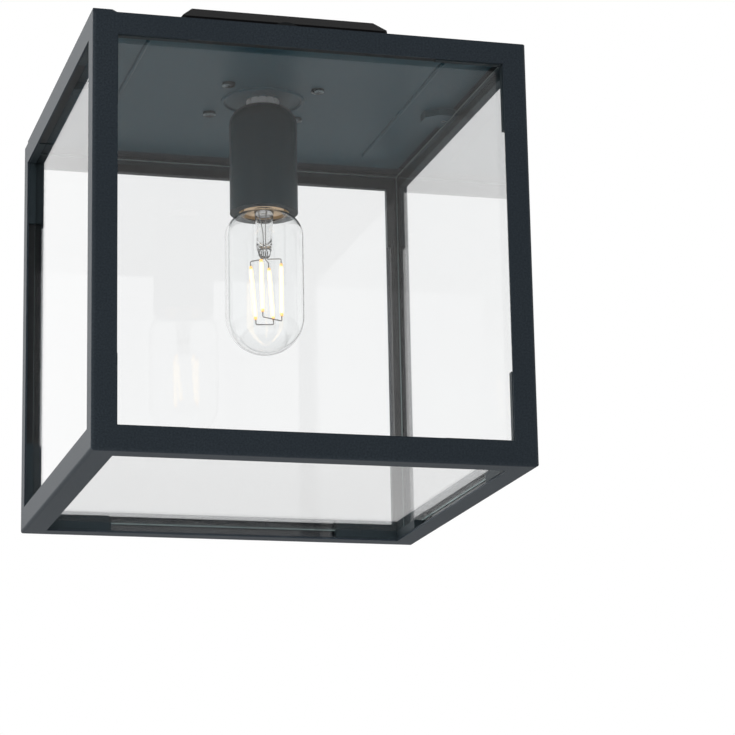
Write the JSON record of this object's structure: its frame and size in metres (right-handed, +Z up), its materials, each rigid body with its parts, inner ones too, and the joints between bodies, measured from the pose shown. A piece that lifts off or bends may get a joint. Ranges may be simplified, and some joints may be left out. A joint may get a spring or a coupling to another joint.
{
  "type": "porch ceiling lantern",
  "caption": "Square glazed porch lantern that hangs under a ceiling box, with a bar frame, loose bottom pane and screw-in tubular filament bulb.",
  "frame": {"origin": "middle of the ceiling box's ceiling face", "axes": "+Z up, out of the ceiling face into the ceiling; +X to the right and -Y to the front, as the picture shows it"},
  "size_m": [0.24, 0.24, 0.2688],
  "materials": {
    "powder_coat": "satin",
    "pad_coat": "matte",
    "rubber": "matte",
    "pane_glass": "gloss",
    "box_plastic": "matte",
    "block_plastic": "matte",
    "brass": "satin",
    "lead_brown": "satin",
    "lead_blue": "satin",
    "lead_earth": "satin",
    "nickel": "satin",
    "coated_screw": "satin",
    "holder_plastic": "satin",
    "holder_ceramic": "matte",
    "bulb_glass": "gloss",
    "insulator": "gloss",
    "filament": "matte",
    "wire": "satin",
    "zinc": "satin"
  },
  "bodies": {
    "lantern": {"post_front_left": "powder_coat", "post_front_right": "powder_coat", "post_back_left": "powder_coat", "post_back_right": "powder_coat", "top_rail_front": "powder_coat", "top_rail_back": "powder_coat", "top_rail_left": "powder_coat", "top_rail_right": "powder_coat", "bottom_rail_front": "powder_coat", "bottom_rail_back": "powder_coat", "bottom_rail_left": "powder_coat", "bottom_rail_right": "powder_coat", "corner_pads": "pad_coat", "corner_pads_bottom": "pad_coat", "glazing_tape_front": "rubber", "glazing_tape_back": "rubber", "glazing_tape_left": "rubber", "glazing_tape_right": "rubber", "glass_front": "pane_glass", "glass_back": "pane_glass", "glass_left": "pane_glass", "glass_right": "pane_glass", "side_clips": "powder_coat", "clip_rivets": "coated_screw", "roof_plate": "powder_coat", "roof_screws": "coated_screw", "ceiling_box": "box_plastic", "box_gasket": "rubber", "cable_grommet": "rubber", "cable_entry": "rubber", "terminal_block": "block_plastic", "terminal_poles": "brass", "terminal_screws": "zinc", "block_screw": "zinc", "earth_stud": "zinc", "earth_ring": "zinc", "earth_nut": "zinc", "lead_live": "lead_brown", "lead_neutral": "lead_blue", "lead_earth": "lead_earth", "nipple": "nickel", "lock_nut": "nickel", "top_nut": "nickel", "toothed_washer": "nickel", "holder_cap": "holder_plastic", "holder_body": "holder_plastic", "holder_base": "holder_ceramic", "holder_terminals": "brass", "holder_screws": "zinc", "holder_contact": "brass", "screw_shell": "brass"},
    "bottom_pane": {"glass_bottom": "pane_glass"},
    "bulb_slider": {"bulb_contact": "nickel"},
    "bulb": {"bulb_glass": "bulb_glass", "bulb_cap": "nickel", "bulb_insulator": "insulator", "bulb_stem": "bulb_glass", "bulb_wires": "wire", "bulb_filaments": "filament"}
  },
  "joints": [
    {"name": "bottom_pane_lift", "type": "slide", "parent": "lantern", "child": "bottom_pane", "axis": [0, 0, 1], "range_m": [0, 0.05]},
    {"name": "bulb_travel", "type": "slide", "parent": "lantern", "child": "bulb_slider", "axis": [0, 0, -1], "range_m": [0, 0.0252]},
    {"name": "bulb_turn", "type": "hinge", "parent": "bulb_slider", "child": "bulb", "pos_m": [0, 0, -0.09], "axis": [0, 0, -1], "range_deg": [0, 2520]}
  ],
  "couplings": [
    {"joint": "bulb_turn", "follows": "bulb_travel", "rad_per_m": 1745.3}
  ]
}
